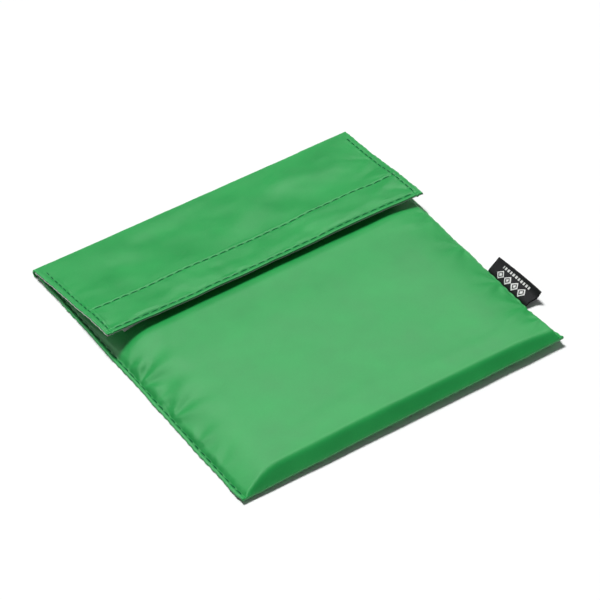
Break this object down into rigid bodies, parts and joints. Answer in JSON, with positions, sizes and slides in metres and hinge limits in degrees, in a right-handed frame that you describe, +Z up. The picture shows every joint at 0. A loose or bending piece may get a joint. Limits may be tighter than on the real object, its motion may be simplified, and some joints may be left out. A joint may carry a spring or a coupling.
{
  "type": "reusable food pouch",
  "caption": "Flat square cloth pouch with a lined pocket, a fold-over flap that closes with hook-and-loop tape, and a small woven label in one side seam.",
  "frame": {"origin": "middle of the back panel's underside, halfway between the side seams and halfway from bottom fold to crest fold", "axes": "+X along the flap's edge towards the seam that holds the label, +Y from the bottom fold towards the crest fold, +Z up from the surface that the pouch lies on"},
  "size_m": [0.1883, 0.179, 0.0126],
  "materials": {
    "outer_cloth": "coated plain-weave taffeta with a faint sheen",
    "lining_film": "smooth white food-safe film",
    "closure_tape": "white woven hook-and-loop tape",
    "thread": "spun polyester sewing thread",
    "label_tape": "woven black satin ribbon"
  },
  "bodies": {
    "pocket": {"back_panel": "outer_cloth", "bottom_fold": "outer_cloth", "back_lining": "lining_film", "left_seam_allowance": "outer_cloth", "right_seam_allowance": "outer_cloth", "stitches_seam_left": "thread", "stitches_seam_right": "thread"},
    "front": {"front_panel": "outer_cloth", "front_lining": "lining_film", "mouth_turned_edge": "outer_cloth", "loop_tape": "closure_tape", "stitches_mouth": "thread", "stitches_loop_front": "thread", "stitches_loop_rear": "thread"},
    "flap": {"flap_panel": "outer_cloth", "flap_lining": "lining_film", "flap_turned_edges": "outer_cloth", "hook_tape": "closure_tape", "stitches_flap_front": "thread", "stitches_flap_rear": "thread", "stitches_flap_left": "thread", "stitches_flap_right": "thread"},
    "label": {"label": "label_tape"}
  },
  "joints": [
    {"name": "flap_fold", "type": "hinge", "parent": "pocket", "child": "flap", "pos_m": [0, 0.0879, 0.0021], "axis": [-1, 0, 0], "range_deg": [0, 170]},
    {"name": "mouth_gape", "type": "hinge", "parent": "pocket", "child": "front", "pos_m": [0, -0.0892, 0.0042], "axis": [1, 0, 0], "range_deg": [0, 8.5]},
    {"name": "label_flex", "type": "hinge", "parent": "pocket", "child": "label", "pos_m": [0.0903, -0.0457, 0.0012], "axis": [0, -1, 0], "range_deg": [-30, 50], "stiffness_Nm_per_rad": 0.001}
  ],
  "couplings": [
    {"joint": "mouth_gape", "follows": "flap_fold", "ratio": 0.05}
  ]
}
